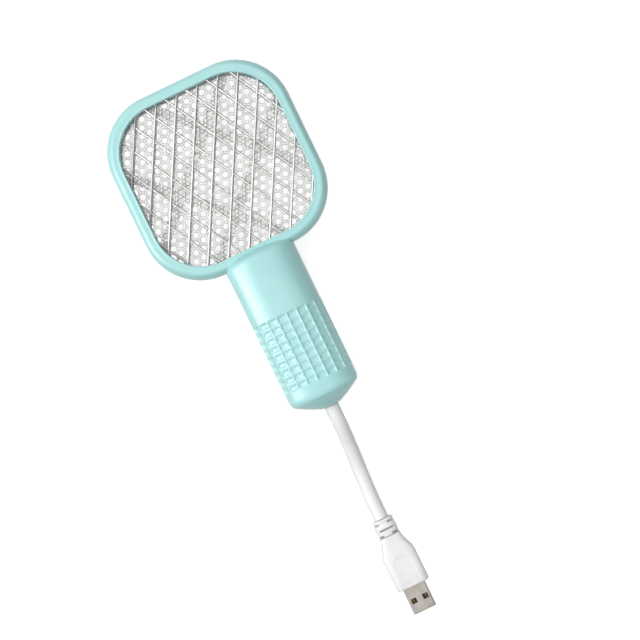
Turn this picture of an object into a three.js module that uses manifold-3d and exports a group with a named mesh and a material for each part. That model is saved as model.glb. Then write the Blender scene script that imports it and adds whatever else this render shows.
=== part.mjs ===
// Mini electric fly swatter with a captive charging lead.
// Units are millimetres. +Z is up, +Y points to the head and the lead leaves towards -Y.
// The swatter lies on the flat of its back at z = 0, with the origin under its middle.

import * as THREE from 'three';
import { ParametricGeometry } from 'three/addons/geometries/ParametricGeometry.js';
import { mergeGeometries, mergeVertices } from 'three/addons/utils/BufferGeometryUtils.js';
import Module from 'manifold-3d';

const wasm = await Module();
wasm.setup();

// ---- driving dimensions -------------------------------------------------------------------
const LENGTH = 177.5;             // head top to handle end
const HEAD = 96.5;                // square head, outside
const HEAD_CORNER = 29;
const OPENING = 84;               // clear opening over the mesh
const OPENING_CORNER = 24.5;
const HANDLE_WIDTH = 37;
const MID_Z = 14.5;               // parting plane of the two shells
const FRONT_RISE = 14.5;          // handle front above the parting plane
const REAR_RISE = 15.3;           // handle back before its flat is taken off at z = 0
const WALL = 2;
const SEAM = 0.15;                // each shell stays this far off the parting plane
const GAP = 0.3;
const RIM_RISE = 7.2;             // rim face above the parting plane
const ROUNDNESS = 2.4;            // superellipse exponent of the handle's section
const HANDLE_SIDES = 20;
const CORNER_STEPS = 4;           // half the facets of each rounded corner of the head

const HALF_LENGTH = LENGTH / 2;
const HEAD_Y = HALF_LENGTH - HEAD / 2;
const RIM_WIDTH = (HEAD - OPENING) / 2;
const RIM_WALL = 1.6;
const LEDGE = RIM_WIDTH - RIM_WALL;       // depth of the channel that holds the grids
const CHANNEL_RISE = 4.2;
const HANDLE_TOP_Y = HEAD_Y - OPENING / 2 - 1.1;
const HANDLE_END_Y = -HALF_LENGTH;
const SOLID_END = 7;              // solid last part of the handle that grips the lead's gland

// grids and spacers, as heights from the parting plane
const GUARD = { low: 3.1, high: 3.9 };
const SPACER = { low: 0.55, high: 2.8 };
const LIVE_HALF = 0.25;
const FRAME_OUT = LEDGE - GAP;
const FRAME_IN = 0.8;
const WIRE_ANGLE = THREE.MathUtils.degToRad(28.7);
const WIRE_PITCH = 9.92;
const WIRE_WIDTH = 1.3;
const WIRE_OFFSET = [-2.1, 3.3];  // where each family of wires passes the head's centre
const LIVE_PITCH = 12.75;
const LIVE_HOLE = 4.5;
const LIVE_TILT = THREE.MathUtils.degToRad(5);
const HASH_WIDTH = 4.6;
const TAB = { width: 5, reach: 3.6, live: -5, guard: 5 };

// fasteners
const HEAD_SCREW_REACH = 53.4;    // from the head's centre, along each diagonal
const HANDLE_SCREWS = [[-11.5, -11], [11.5, -11], [-10.8, -76.5], [10.8, -76.5]];

// push button, switch and board
const BUTTON_Y = -28;
const BUTTON = { length: 15, width: 8, flangeLength: 18, flangeWidth: 11 };
const BUTTON_Z = { face: 0.5, shoulder: 2.3, back: 2.9 };
const SWITCH = { side: 8, low: 5.6, high: 9.2, pocket: 8.6, plunger: 3 };
const BOARD = { width: 25, top: -15, end: -72, low: 9.5, high: 11.1 };
const LED_Y = -16.5;

// battery
const CELL = { radius: 7, z: 18.7, top: -33.6, end: -76.4 };

// lead and plug
const CORD = 7.4;
const PLUG_X = -2.2;
const PLUG_Z = 4.5;
const PLUG_THICK = 9;
const RELIEF_Y = HANDLE_END_Y - 63;
const RELIEF_LENGTH = 9;
const BODY_Y = RELIEF_Y - RELIEF_LENGTH;
const BODY_LENGTH = 27.7;
const SHELL_Y = BODY_Y - BODY_LENGTH;
const USB = { width: 12, thick: 4.5, out: 13.6, buried: 4, sheet: 0.35 };
const CORD_ROUTE = [
  [0, -89.05, 14.5], [0, -92, 14.4], [0, -95, 13.95], [-0.05, -99, 12.8], [-0.15, -103, 11.1],
  [-0.3, -107, 9.2], [-0.5, -111, 7.4], [-0.75, -115, 5.95], [-1, -119, 4.9], [-1.25, -123, 4.2],
  [-1.5, -127, 3.85], [-1.7, -131, 3.75], [-1.9, -135, 3.75], [-2.05, -139, 3.8],
  [-2.15, -143, 3.95], [-2.2, -147, 4.2], [-2.2, -149.5, 4.4], [-2.2, -151.45, 4.5],
];

// ---- materials ----------------------------------------------------------------------------
function finish(color, roughness, metalness = 0) {
  return new THREE.MeshStandardMaterial({ color, roughness, metalness });
}
const TEAL = () => finish(0xa9e3e1, 0.3);
const STEEL = () => finish(0xc9cbcc, 0.25, 1);
const GREY = () => finish(0xb9bcbd, 0.5);
const WHITE = () => finish(0xf2f2f0, 0.45);
const BOARD_GREEN = () => finish(0x1f6b43, 0.5);
const DARK = () => finish(0x26282a, 0.5);
const RED = () => finish(0xb5322b, 0.5);
const GOLD = () => finish(0xd9b25a, 0.3, 1);

// ---- geometry and boolean helpers ---------------------------------------------------------
function weld(geometry) {
  const bare = geometry.clone();
  bare.deleteAttribute('normal');
  bare.deleteAttribute('uv');
  const welded = mergeVertices(bare, 1e-4);
  const index = welded.index.array;
  const kept = [];
  for (let i = 0; i < index.length; i += 3) {
    const [a, b, c] = [index[i], index[i + 1], index[i + 2]];
    if (a !== b && b !== c && c !== a) kept.push(a, b, c);
  }
  welded.setIndex(kept);
  return facingOut(welded);
}

function facingOut(geometry) {
  const p = geometry.attributes.position;
  const index = geometry.index.array;
  const [a, b, c] = [new THREE.Vector3(), new THREE.Vector3(), new THREE.Vector3()];
  let volume = 0;
  for (let i = 0; i < index.length; i += 3) {
    a.fromBufferAttribute(p, index[i]);
    b.fromBufferAttribute(p, index[i + 1]);
    c.fromBufferAttribute(p, index[i + 2]);
    volume += a.dot(b.cross(c));
  }
  if (volume < 0) geometry.setIndex(Array.from(index).reverse());
  return geometry;
}

function solid(geometry) {
  const g = weld(geometry);
  return new wasm.Manifold(new wasm.Mesh({
    numProp: 3,
    vertProperties: new Float32Array(g.attributes.position.array),
    triVerts: new Uint32Array(g.index.array),
  }));
}

function surface(manifold) {
  const mesh = manifold.getMesh();
  const geometry = new THREE.BufferGeometry();
  geometry.setAttribute('position', new THREE.BufferAttribute(mesh.vertProperties, 3));
  geometry.setIndex(new THREE.BufferAttribute(mesh.triVerts, 1));
  return geometry;
}

const join = (first, ...rest) => rest.reduce((sum, next) => sum.add(next), first);
const cut = (body, ...tools) => tools.reduce((left, tool) => left.subtract(tool), body);

function box([x0, x1], [y0, y1], [z0, z1]) {
  return new THREE.BoxGeometry(x1 - x0, y1 - y0, z1 - z0)
    .translate((x0 + x1) / 2, (y0 + y1) / 2, (z0 + z1) / 2);
}

function post(x, y, z0, z1, radius, sides = 12) {
  return new THREE.CylinderGeometry(radius, radius, z1 - z0, sides)
    .rotateX(Math.PI / 2).translate(x, y, (z0 + z1) / 2);
}

function rod(radius, length, sides = 12) {          // along X, centred
  return new THREE.CylinderGeometry(radius, radius, length, sides).rotateZ(Math.PI / 2);
}

function plate(shape, z0, z1, curveSegments = 6) {
  const options = { depth: z1 - z0, bevelEnabled: false, curveSegments };
  return new THREE.ExtrudeGeometry(shape, options).translate(0, 0, z0);
}

function turned(profile, segments) {                // [radius, height] pairs, axis +Z
  const points = profile.map(([r, h]) => new THREE.Vector2(r, h));
  return new THREE.LatheGeometry(points, segments).rotateX(Math.PI / 2);
}

function roundedRect(x, y, width, height, radius) {
  const [w, h] = [width / 2 - radius, height / 2 - radius];
  const shape = new THREE.Shape();
  shape.absarc(x + w, y + h, radius, 0, Math.PI / 2);
  shape.absarc(x - w, y + h, radius, Math.PI / 2, Math.PI);
  shape.absarc(x - w, y - h, radius, Math.PI, 1.5 * Math.PI);
  shape.absarc(x + w, y - h, radius, 1.5 * Math.PI, 2 * Math.PI);
  shape.closePath();
  return shape;
}

function tube(points, radius, sides, steps) {
  const path = new THREE.CatmullRomCurve3(points.map((p) => new THREE.Vector3(...p)));
  const circle = new THREE.Shape();
  for (let i = 0; i < sides; i++) {
    const angle = (2 * Math.PI * i) / sides;
    const [x, y] = [radius * Math.cos(angle), radius * Math.sin(angle)];
    if (i === 0) circle.moveTo(x, y);
    else circle.lineTo(x, y);
  }
  return new THREE.ExtrudeGeometry(circle, { steps, bevelEnabled: false, extrudePath: path });
}

// ---- outlines of the head and of the handle -----------------------------------------------
const offsetHalf = (u) => OPENING / 2 + u;
const offsetCorner = (u) => OPENING_CORNER + (HEAD_CORNER - OPENING_CORNER) * (u / RIM_WIDTH);

function headOutline(u) {          // u runs outwards from the opening's edge
  return roundedRect(0, HEAD_Y, 2 * offsetHalf(u), 2 * offsetHalf(u), offsetCorner(u));
}

function headSlab(u, z0, z1) {
  return plate(headOutline(u), z0, z1, CORNER_STEPS);
}

// Rim cross-section: [distance from the opening's edge, height above the parting plane].
function rimProfile() {
  const points = [[0, 0], [0, RIM_RISE - 0.6], [0.6, RIM_RISE], [2.7, RIM_RISE]];
  const round = { across: RIM_WIDTH - 2.7, up: RIM_RISE - 1.5 };
  for (const degrees of [65, 42, 20, 0]) {
    const angle = THREE.MathUtils.degToRad(degrees);
    points.push([2.7 + round.across * Math.cos(angle), 1.5 + round.up * Math.sin(angle)]);
  }
  return [...points, [RIM_WIDTH, 0]];
}

function rim(side) {               // side +1 is the front half, -1 the back half
  const profile = rimProfile();
  const loops = profile.map(([u]) => headOutline(u).getPoints(CORNER_STEPS));
  const count = loops[0].length - 1;
  const ring = (u, v, target) => {
    const j = Math.round(u * profile.length) % profile.length;
    const point = loops[j][Math.round(v * count) % count];
    target.set(point.x, point.y, MID_Z + side * profile[j][1]);
  };
  return new ParametricGeometry(ring, profile.length, count);
}

// Handle stations: distance from the lead's end and share of full width and height there.
function handleStations(inset) {
  const length = HANDLE_TOP_Y - HANDLE_END_Y;
  const [slope, shoulder] = [new THREE.Vector2(6, 0.88), new THREE.Vector2(10.2, 1)];
  const corner = new THREE.QuadraticBezierCurve(slope, new THREE.Vector2(7, 1), shoulder);
  const stations = [[0, 0], [0.5, 0.05], ...corner.getPoints(3).map((p) => [p.x, p.y])];
  const rounding = 5.3;
  for (const t of [0, 0.35, 0.65, 0.86, 0.97]) {
    stations.push([length - rounding + rounding * t, (1 - t ** 2.2) ** (1 / 2.2), true]);
  }
  return stations.map(([e, share, top]) => {
    const end = top ? 0 : 5.4;
    return {
      y: HANDLE_END_Y + THREE.MathUtils.mapLinear(e, 0, length, inset, length - inset),
      half: end + (HANDLE_WIDTH / 2 - end) * share - inset * share,
      front: end + (FRONT_RISE - end) * share - inset * share,
      rear: end + (REAR_RISE - end) * share - inset * share,
    };
  });
}

function handleBody(inset = 0, sides = HANDLE_SIDES) {
  const stations = handleStations(inset);
  const last = stations.length + 1;
  const skin = (u, v, target) => {
    const i = Math.round(v * last);
    const pole = i === 0 || i === last;
    const s = stations[THREE.MathUtils.clamp(i - 1, 0, stations.length - 1)];
    const angle = 2 * Math.PI * (Math.round(u * sides) % sides) / sides;
    const [c, k] = [Math.cos(angle), Math.sin(angle)];
    const rise = k > 0 ? s.front : s.rear;
    const x = pole ? 0 : s.half * Math.sign(c) * Math.abs(c) ** (2 / ROUNDNESS);
    const z = pole ? 0 : rise * Math.sign(k) * Math.abs(k) ** (2 / ROUNDNESS);
    target.set(x, s.y, MID_Z + z);
  };
  return solid(new ParametricGeometry(skin, sides, last));
}

// ---- shells -------------------------------------------------------------------------------
const BIG = 150;
const handleOuter = handleBody();
const cavity = cut(handleBody(WALL),
  solid(box([-BIG, BIG], [-BIG, HANDLE_END_Y + SOLID_END], [-BIG, BIG])));
const channel = cut(
  solid(headSlab(LEDGE, MID_Z - CHANNEL_RISE, MID_Z + CHANNEL_RISE)),
  solid(headSlab(-1, -BIG, BIG)));

function headScrewSpots() {
  const reach = HEAD_SCREW_REACH / Math.SQRT2;
  return [[-1, 1], [1, 1], [-1, -1], [1, -1]].map(([i, j]) => [i * reach, HEAD_Y + j * reach]);
}

function glandBore() {             // stepped bore that the lead's gland sits in
  const profile = [[0, -1], [4.4, -1], [4.4, 2.5], [6.3, 2.5], [6.3, 5.3], [4.4, 5.3],
    [4.4, SOLID_END + 1], [0, SOLID_END + 1]];
  return solid(turned(profile, 16).rotateX(-Math.PI / 2)
    .translate(0, HANDLE_END_Y, MID_Z));
}

function cradleRib(y, side) {      // rib across the cavity with a seat for the battery
  const slab = solid(box([-9, 9], [y - 0.6, y + 0.6], side > 0 ? [19, 28] : [1, 5]));
  const seat = solid(rod(CELL.radius + GAP, 4, 20).rotateZ(Math.PI / 2)
    .translate(0, y, CELL.z));
  return cut(slab.intersect(handleOuter), seat);
}

function shellHalf(side) {
  const limits = side > 0 ? [MID_Z + SEAM, BIG] : [0, MID_Z - SEAM];
  const half = solid(box([-BIG, BIG], [-BIG, BIG], limits));
  const skin = handleOuter.intersect(half);
  const rimHalf = solid(rim(side)).intersect(half);
  const hollow = cut(join(skin, rimHalf), cavity, channel, glandBore());
  const [low, high] = limits.map((z) => Math.min(z, 2 * MID_Z));
  const bosses = HANDLE_SCREWS.map(([x, y]) => solid(post(x, y, low, high, 3)).intersect(skin));
  const corners = headScrewSpots()
    .map(([x, y]) => solid(post(x, y, low, high, 2, 10)).intersect(rimHalf));
  return join(hollow, ...bosses, ...corners);
}

function frontShell() {
  const pilots = [
    ...HANDLE_SCREWS.map(([x, y]) => solid(post(x, y, MID_Z - 1, 23.6, 1.1, 8))),
    ...headScrewSpots().map(([x, y]) => solid(post(x, y, MID_Z - 1, 19.2, 0.8, 8))),
  ];
  const ribs = [-45, -66].map((y) => cradleRib(y, 1));
  return cut(join(shellHalf(1), ...ribs), ...pilots);
}

function rearShell() {
  const bores = [
    ...HANDLE_SCREWS.map(([x, y]) => solid(post(x, y, -1, MID_Z, 1.5, 8))),
    ...HANDLE_SCREWS.map(([x, y]) => solid(post(x, y, -1, 5.4, 2.6, 12))),
    ...headScrewSpots().map(([x, y]) => solid(post(x, y, 0, MID_Z, 1.1, 8))),
    ...headScrewSpots().map(([x, y]) => solid(post(x, y, 0, 9.8, 1.8, 10))),
  ];
  const hole = roundedRect(0, BUTTON_Y, BUTTON.width + 0.6, BUTTON.length + 0.6, 4.25);
  const window = solid(post(0, LED_Y, -1, 4, 1.9, 12));
  const posts = [-19, -68].flatMap((y) => [-10, 10].map(
    (x) => solid(post(x, y, 0.5, BOARD.low - 0.2, 1.4, 8)).intersect(handleOuter)));
  return cut(join(shellHalf(-1), ...posts), ...bores, solid(plate(hole, -1, 5, 4)), window);
}

// ---- grids and spacers --------------------------------------------------------------------
function screwNotches(z0, z1) {
  return headScrewSpots().map(([x, y]) => solid(post(x, y, z0 - 1, z1 + 1, 2.3, 10)));
}

function gridFrame(z0, z1) {
  return cut(solid(headSlab(FRAME_OUT, z0, z1)), solid(headSlab(FRAME_IN, z0 - 1, z1 + 1)));
}

function tab(x, z0, z1) {
  const y = HEAD_Y - offsetHalf(FRAME_OUT);
  return solid(box([x - TAB.width / 2, x + TAB.width / 2], [y - TAB.reach, y + 1], [z0, z1]));
}

function strip(angle, offset, width, z0, z1) {      // straight bar across the head
  const bar = box([-width / 2, width / 2], [-70, 70], [z0, z1]);
  return solid(bar.translate(offset, 0, 0).rotateZ(-angle).translate(0, HEAD_Y, 0));
}

function guardGrid(side) {
  const [z0, z1] = [MID_Z + side * GUARD.low, MID_Z + side * GUARD.high].sort((a, b) => a - b);
  const bars = [];
  for (const [family, angle] of [WIRE_ANGLE, -WIRE_ANGLE].entries()) {
    for (let i = -6; i <= 6; i++) {
      const offset = WIRE_OFFSET[family] + i * WIRE_PITCH;
      if (Math.abs(offset) < OPENING * 0.66) bars.push(strip(angle, offset, WIRE_WIDTH, z0, z1));
    }
  }
  const lattice = join(...bars).intersect(solid(headSlab(FRAME_IN + 0.5, z0, z1)));
  return cut(join(gridFrame(z0, z1), lattice, tab(TAB.guard, z0, z1)), ...screwNotches(z0, z1));
}

function liveGrid() {
  const [z0, z1] = [MID_Z - LIVE_HALF, MID_Z + LIVE_HALF];
  const sheet = solid(headSlab(FRAME_OUT, z0, z1));
  const holes = [];
  const row = LIVE_PITCH * Math.sin(Math.PI / 3);
  for (let j = -4; j <= 4; j++) {
    for (let i = -4; i <= 4; i++) {
      const spot = new THREE.Vector2((i + (j % 2 ? 0.5 : 0)) * LIVE_PITCH, j * row);
      spot.rotateAround(new THREE.Vector2(), LIVE_TILT);
      const inside = Math.max(Math.abs(spot.x), Math.abs(spot.y)) < OPENING / 2 - LIVE_HOLE;
      const round = spot.length() < OPENING / 2 + 2;
      if (inside && round) {
        holes.push(solid(post(spot.x, HEAD_Y + spot.y, z0 - 1, z1 + 1, LIVE_HOLE, 6)));
      }
    }
  }
  return cut(join(sheet, tab(TAB.live, z0, z1)), ...holes, ...screwNotches(z0, z1));
}

function frontSpacer() {
  const [z0, z1] = [MID_Z + SPACER.low, MID_Z + SPACER.high];
  return cut(gridFrame(z0, z1), ...screwNotches(z0, z1));
}

function ribSpacer() {             // frame with the four crossing bars that back the live grid
  const [z0, z1] = [MID_Z - SPACER.high, MID_Z - SPACER.low];
  const lean = THREE.MathUtils.degToRad(45);
  const bars = [
    strip(lean, -12.7, HASH_WIDTH, z0, z1), strip(lean, 15.9, HASH_WIDTH, z0, z1),
    strip(-lean, -18, HASH_WIDTH, z0, z1), strip(-lean, 17.9, HASH_WIDTH, z0, z1),
  ];
  const hash = join(...bars).intersect(solid(headSlab(FRAME_IN + 0.5, z0, z1)));
  return cut(join(gridFrame(z0, z1), hash), ...screwNotches(z0, z1));
}

function guardLink() {             // stud that ties the two guard grids together
  return post(TAB.guard, HEAD_Y - offsetHalf(FRAME_OUT) - 2.2,
    MID_Z - GUARD.low + 0.1, MID_Z + GUARD.low - 0.1, 1, 8);
}

// ---- fasteners ----------------------------------------------------------------------------
function screw(x, y, seat, tip, headRadius, shankRadius) {
  const crown = seat - 1.3;
  return turned([[0, crown], [headRadius, crown], [headRadius, seat], [shankRadius, seat],
    [shankRadius, tip - 1], [0, tip]], 10).translate(x, y, 0);
}

// ---- button, switch and board -------------------------------------------------------------
function pushButton() {
  const cap = roundedRect(0, BUTTON_Y, BUTTON.width, BUTTON.length, 3.95);
  const flange = roundedRect(0, BUTTON_Y, BUTTON.flangeWidth, BUTTON.flangeLength, 5);
  return join(solid(plate(cap, BUTTON_Z.face, BUTTON_Z.back, 4)),
    solid(plate(flange, BUTTON_Z.shoulder, BUTTON_Z.back, 4)));
}

function centred(side, z0, z1, y = BUTTON_Y) {
  return box([-side / 2, side / 2], [y - side / 2, y + side / 2], [z0, z1]);
}

function switchBody() {
  return cut(solid(centred(SWITCH.side, SWITCH.low, SWITCH.high)),
    solid(centred(SWITCH.plunger + 0.6, SWITCH.low - 1, SWITCH.pocket)));
}

function buttonSpring() {
  const [turns, radius, wire] = [3, 2.9, 0.22];
  const [z0, z1] = [BUTTON_Z.back + 0.35, SWITCH.low - 0.35];
  const points = [];
  for (let i = 0; i <= turns * 8; i++) {
    const angle = (2 * Math.PI * i) / 8;
    points.push([radius * Math.cos(angle), BUTTON_Y + radius * Math.sin(angle),
      z0 + (z1 - z0) * (i / (turns * 8))]);
  }
  return tube(points, wire, 5, turns * 8);
}

function transformerCore() {
  const outer = solid(box([-12, 1], [-29.5, -18.5], [11.2, 22]));
  const windows = [[-9.6, -7.3], [-3.7, -1.4]].map(
    (x) => solid(box(x, [-31, -17], [13.2, 20])));
  return cut(outer, ...windows);
}

function transformerWinding() {    // coil around the core's middle leg
  const outer = box([-9.3, -1.7], [-31.2, -16.8], [13.5, 19.7]);
  const leg = box([-7.6, -3.4], [-29.8, -18.2], [12, 21]);
  return cut(solid(outer), solid(leg));
}

function lightEmitter() {
  return turned([[0, 4.4], [0.9, 4.6], [1.5, 5.6], [1.5, 8.2], [1.9, 8.2], [1.9, 9.3],
    [0, 9.3]], 10).translate(0, LED_Y, 0);
}

function lightWindow() {
  return turned([[0, 0.4], [1.6, 0.4], [1.6, 2.3], [2.5, 2.3], [2.5, 3], [0, 3]], 12)
    .translate(0, LED_Y, 0);
}

function batteryTab(y) {
  return box([-3.5, 3.5], [y - 0.15, y + 0.15], [14.5, 23]);
}

// ---- lead and plug ------------------------------------------------------------------------
function cordGland() {
  const profile = [[0, 0], [4.1, 0], [4.1, 2.8], [6, 2.8], [6, 5], [4.1, 5], [4.1, 8.5], [0, 8.5]];
  return turned(profile, 14).rotateX(-Math.PI / 2).translate(0, HANDLE_END_Y, MID_Z);
}

function plugRelief() {            // ribbed strain relief, an oval in section
  const [ring, core] = [5.6, 4.6];
  const profile = [[0, 0], [ring, 0], [ring, 1.4], [core, 1.4], [core, 2.7], [ring, 2.7],
    [ring, 4.6], [core, 4.6], [core, 5.9], [ring, 5.9], [ring, 7.6], [core, 7.6],
    [core, RELIEF_LENGTH - 0.3], [0, RELIEF_LENGTH - 0.3]];
  return turned(profile, 14).rotateX(Math.PI / 2).scale(1, 1, PLUG_THICK / (2 * ring))
    .translate(PLUG_X, RELIEF_Y, PLUG_Z);
}

function plugBody() {
  const [neck, half, flare] = [5.5, 8.6, 9.5];
  const shape = new THREE.Shape();
  shape.moveTo(-neck, 0);
  shape.bezierCurveTo(-neck, -flare * 0.6, -half, -flare * 0.5, -half, -flare);
  shape.lineTo(-half, 1.5 - BODY_LENGTH);
  shape.absarc(1.5 - half, 1.5 - BODY_LENGTH, 1.5, Math.PI, 1.5 * Math.PI);
  shape.absarc(half - 1.5, 1.5 - BODY_LENGTH, 1.5, 1.5 * Math.PI, 2 * Math.PI);
  shape.lineTo(half, -flare);
  shape.bezierCurveTo(half, -flare * 0.5, neck, -flare * 0.6, neck, 0);
  shape.closePath();
  const body = plate(shape, 0, PLUG_THICK, 5).translate(PLUG_X, BODY_Y, PLUG_Z - PLUG_THICK / 2);
  const [w, t] = [USB.width / 2 + GAP, USB.thick / 2 + GAP];
  const pocket = box([PLUG_X - w, PLUG_X + w], [SHELL_Y - 1, SHELL_Y + USB.buried],
    [PLUG_Z - t, PLUG_Z + t]);
  return cut(solid(body), solid(pocket));
}

function usbShell() {
  const [w, t] = [USB.width / 2, USB.thick / 2];
  const [front, back] = [SHELL_Y - USB.out, SHELL_Y + USB.buried - GAP];
  const around = (inset, y0, y1) => solid(box([PLUG_X - w + inset, PLUG_X + w - inset],
    [y0, y1], [PLUG_Z - t + inset, PLUG_Z + t - inset]));
  const windows = [-3.1, 3.1].map((x) => solid(box([PLUG_X + x - 1.4, PLUG_X + x + 1.4],
    [front + 5.1, front + 7.8], [PLUG_Z - t - 1, PLUG_Z + t + 1])));
  return cut(around(0, front, back), around(USB.sheet, front - 1, back + 1), ...windows);
}

const TONGUE_TOP = PLUG_Z - 0.1;
function usbTongue() {
  return box([PLUG_X - 5.4, PLUG_X + 5.4], [SHELL_Y - USB.out + 0.6, SHELL_Y + 3],
    [PLUG_Z - USB.thick / 2 + USB.sheet + 0.1, TONGUE_TOP]);
}

function usbContact(index) {
  const x = PLUG_X + [-3.5, -1, 1, 3.5][index];
  return box([x - 0.5, x + 0.5], [SHELL_Y - USB.out + 1.4, SHELL_Y - 4],
    [TONGUE_TOP + 0.02, TONGUE_TOP + 0.22]);
}

// ---- assembly -----------------------------------------------------------------------------
const swatter = new THREE.Group();

function add(name, shape, material) {
  const geometry = shape instanceof wasm.Manifold ? surface(shape) : weld(shape);
  const mesh = new THREE.Mesh(geometry, material);
  mesh.name = name;
  swatter.add(mesh);
}

add('front_shell', frontShell(), TEAL());
add('rear_shell', rearShell(), TEAL());
add('front_guard_grid', guardGrid(1), STEEL());
add('front_spacer', frontSpacer(), GREY());
add('live_grid', liveGrid(), STEEL());
add('rib_spacer', ribSpacer(), GREY());
add('rear_guard_grid', guardGrid(-1), STEEL());
add('guard_link', guardLink(), STEEL());

headScrewSpots().forEach(([x, y], i) => {
  add(`head_screw_${i + 1}`, screw(x, y, 9.7, 17.5, 1.6, 0.7), STEEL());
});
HANDLE_SCREWS.forEach(([x, y], i) => {
  add(`handle_screw_${i + 1}`, screw(x, y, 5.3, 21, 2.3, 0.95), STEEL());
});

add('push_button', pushButton(), WHITE());
add('button_spring', buttonSpring(), STEEL());
add('switch_plunger', centred(SWITCH.plunger, 3.2, 6.9), DARK());
add('switch_body', switchBody(), DARK());
add('circuit_board', box([-BOARD.width / 2, BOARD.width / 2], [BOARD.end, BOARD.top],
  [BOARD.low, BOARD.high]), BOARD_GREEN());
add('indicator_led', lightEmitter(), RED());
add('led_window', lightWindow(), WHITE());

add('transformer_core', transformerCore(), DARK());
add('transformer_winding', transformerWinding(), GOLD());
add('storage_capacitor', box([4.2, 10], [-30, -18.5], [11.3, 20.8]), RED());
for (let i = 0; i < 3; i++) {
  add(`rectifier_diode_${i + 1}`, rod(1.3, 5.2, 8).translate(-6, -40 - 4.5 * i, 7.9), DARK());
}
add('bleed_resistor', rod(1.2, 6.5, 8).translate(-6, -54, 7.9), GREY());
add('drive_transistor', box([4.5, 9], [-44, -39.5], [5.6, 9.2]), DARK());
add('charge_chip', box([3, 8], [-57, -53], [7.8, 9.2]), DARK());

add('battery_cell', rod(CELL.radius, CELL.top - CELL.end, 18).rotateZ(Math.PI / 2)
  .translate(0, (CELL.top + CELL.end) / 2, CELL.z), finish(0x3f7fc4, 0.4));
add('battery_pad', box([-5, 5], [-70, -40], [11.15, 11.6]), GREY());
add('battery_tab_positive', batteryTab(CELL.top + 0.35), STEEL());
add('battery_tab_negative', batteryTab(CELL.end - 0.35), STEEL());

add('battery_lead_red', tube([[0, -32.2, 19.5], [0.3, -31.7, 16.5], [1.8, -31.6, 13.5],
  [2.6, -31.6, 11.9]], 0.65, 6, 8), RED());
add('battery_lead_black', tube([[4.6, -77.9, 17.5], [5, -78.4, 13.5], [5.4, -77, 9.4],
  [5.6, -73.5, 7.6], [5.6, -69.5, 7.9]], 0.65, 6, 10), DARK());
add('live_lead', tube([[TAB.live, -16.4, 12.2], [TAB.live, -14.2, 14],
  [TAB.live, -11.8, 15.7], [TAB.live, -8.2, 15.7]], 0.8, 6, 8), RED());
add('guard_lead', tube([[TAB.guard, -16.4, 12.2], [TAB.guard, -14, 15],
  [TAB.guard, -11.6, 18.8], [TAB.guard, -8.2, 19.3]], 0.8, 6, 8), DARK());
add('supply_wire_red', tube([[-1.4, -79.4, 13.4], [-1.4, -78.7, 10.4], [-1.7, -76, 7.9],
  [-2, -69.5, 7.9]], 0.65, 6, 9), RED());
add('supply_wire_black', tube([[1.4, -79.4, 13.4], [1.4, -78.7, 10.4], [1.7, -76, 7.9],
  [2, -69.5, 7.9]], 0.65, 6, 9), DARK());

add('cord_gland', cordGland(), WHITE());
add('usb_cord', tube(CORD_ROUTE, CORD / 2, 10, 16), WHITE());
add('plug_relief', plugRelief(), WHITE());
add('plug_body', plugBody(), WHITE());
add('usb_shell', usbShell(), STEEL());
add('usb_tongue', usbTongue(), DARK());
for (let i = 0; i < 4; i++) add(`usb_contact_${i + 1}`, usbContact(i), GOLD());

export default swatter;
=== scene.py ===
"""Looks for the electric fly swatter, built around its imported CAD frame.

The part's own frame has +Z up out of the front of the mesh, and +Y from the handle to the head.
Shapes are written in millimetres and scaled once, in solid() and lead(). The camera and lights are
in metres.
"""
import math

import bmesh
import bpy
from mathutils import Matrix, Vector


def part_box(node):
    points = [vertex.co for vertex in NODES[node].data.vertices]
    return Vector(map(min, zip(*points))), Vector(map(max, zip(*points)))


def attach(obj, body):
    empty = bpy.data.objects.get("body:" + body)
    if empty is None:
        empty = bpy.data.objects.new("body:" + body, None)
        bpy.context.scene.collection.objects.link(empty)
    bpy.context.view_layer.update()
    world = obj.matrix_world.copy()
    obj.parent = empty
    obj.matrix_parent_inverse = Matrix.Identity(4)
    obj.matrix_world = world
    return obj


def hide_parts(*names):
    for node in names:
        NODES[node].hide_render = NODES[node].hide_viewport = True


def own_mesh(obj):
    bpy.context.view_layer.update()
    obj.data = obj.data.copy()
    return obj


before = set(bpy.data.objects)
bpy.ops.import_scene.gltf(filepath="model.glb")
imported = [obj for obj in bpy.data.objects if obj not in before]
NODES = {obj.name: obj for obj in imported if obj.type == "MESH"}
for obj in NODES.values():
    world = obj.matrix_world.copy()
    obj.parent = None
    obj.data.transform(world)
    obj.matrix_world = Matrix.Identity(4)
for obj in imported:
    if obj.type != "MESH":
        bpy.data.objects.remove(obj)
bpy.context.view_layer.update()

MM = 0.001
FIXED, MOVING = "swatter", "button"          # the part's two bodies

# ---- sizes in millimetres, the main ones from the frame --------------------------------------
# Heights called Z are from the floor. Those called RISE are from the parting plane.
front_low, front_high = (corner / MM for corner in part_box("front_shell"))
rear_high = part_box("rear_shell")[1] / MM
MID_Z = (front_low.z + rear_high.z) / 2      # parting plane of the two shells
SEAM = (front_low.z - rear_high.z) / 2       # each shell stops this far from it
WALL = 2.0

HEAD_HALF = front_high.x
HEAD_Y = front_high.y - HEAD_HALF            # middle of the head
HEAD_CORNER = 29.0
OPENING_HALF = 42.0
OPENING_CORNER = 24.5
RIM_WIDTH = HEAD_HALF - OPENING_HALF
RIM_RISE = 7.2
RIM_ARC_START, RIM_ARC_FOOT = 2.9, 1.2       # where the rim's round outside starts, and its foot
LEDGE = RIM_WIDTH - 1.6                      # depth of the channel that holds the grids
CHANNEL_RISE = 4.2

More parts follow.
